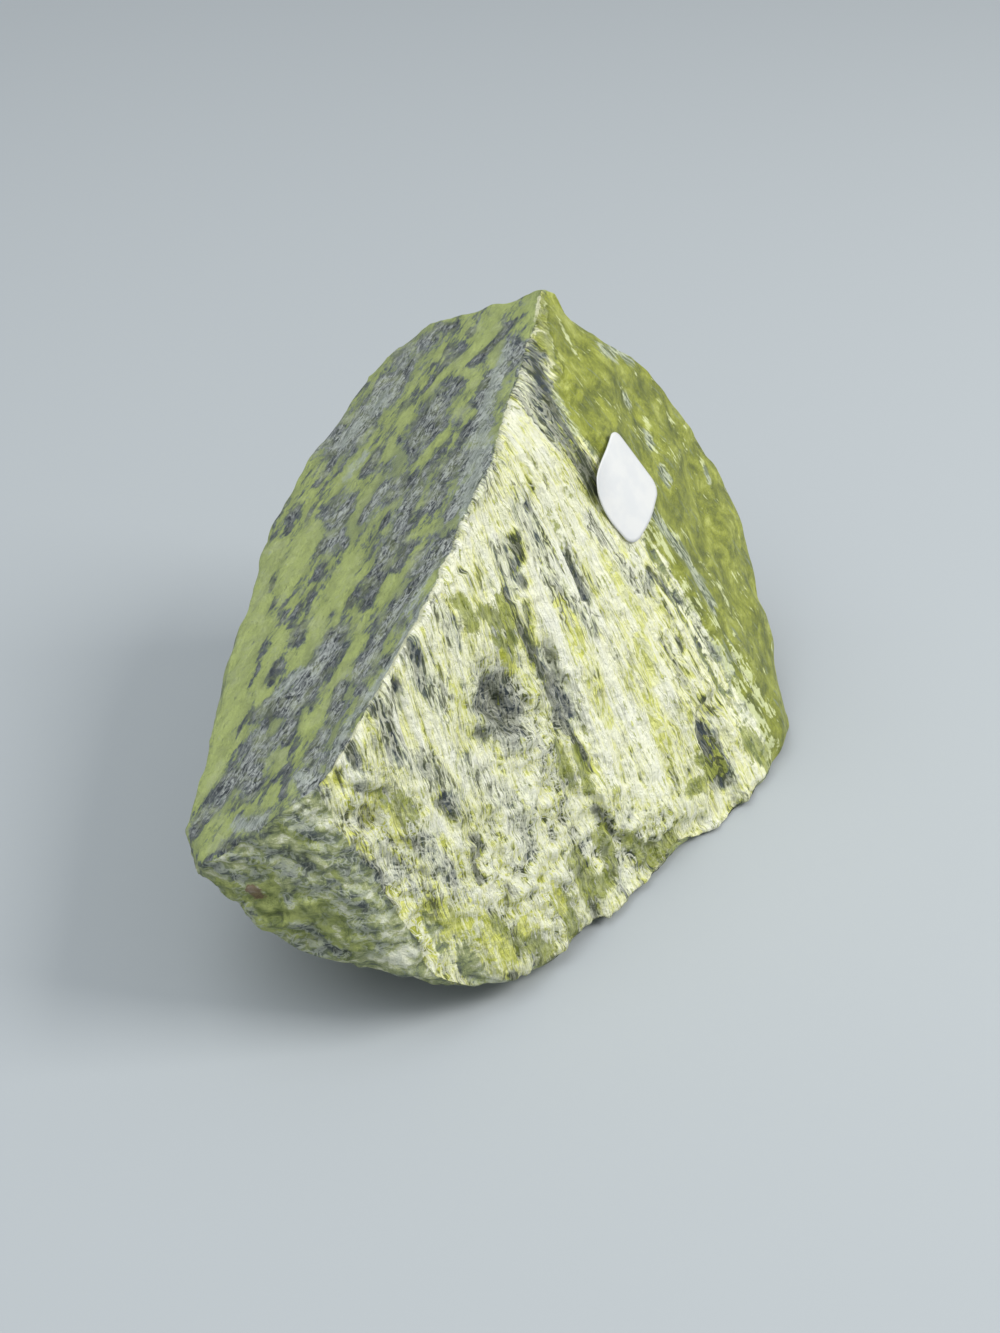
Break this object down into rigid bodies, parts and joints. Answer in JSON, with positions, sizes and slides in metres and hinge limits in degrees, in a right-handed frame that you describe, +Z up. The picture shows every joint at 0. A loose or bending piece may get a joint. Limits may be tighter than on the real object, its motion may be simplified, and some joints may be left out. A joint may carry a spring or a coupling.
{
  "type": "serpentine rock",
  "caption": "Rough lump of green serpentine with a smooth slab face, a fibrous front and a small blank paper label; rests on a flat spot.",
  "frame": {"origin": "on the surface the rock rests on, under the middle of its bounding box", "axes": "+Z up, +X to the right and +Y away from someone who faces the front ridge"},
  "size_m": [0.1024, 0.1138, 0.0806],
  "materials": {
    "serpentine": "rough green rock with dark mottling, pale fibrous front and waxy olive patches",
    "label_paper": "satin white paper, bare"
  },
  "bodies": {
    "root": {"rock": "serpentine", "paper_label": "label_paper"}
  },
  "joints": []
}
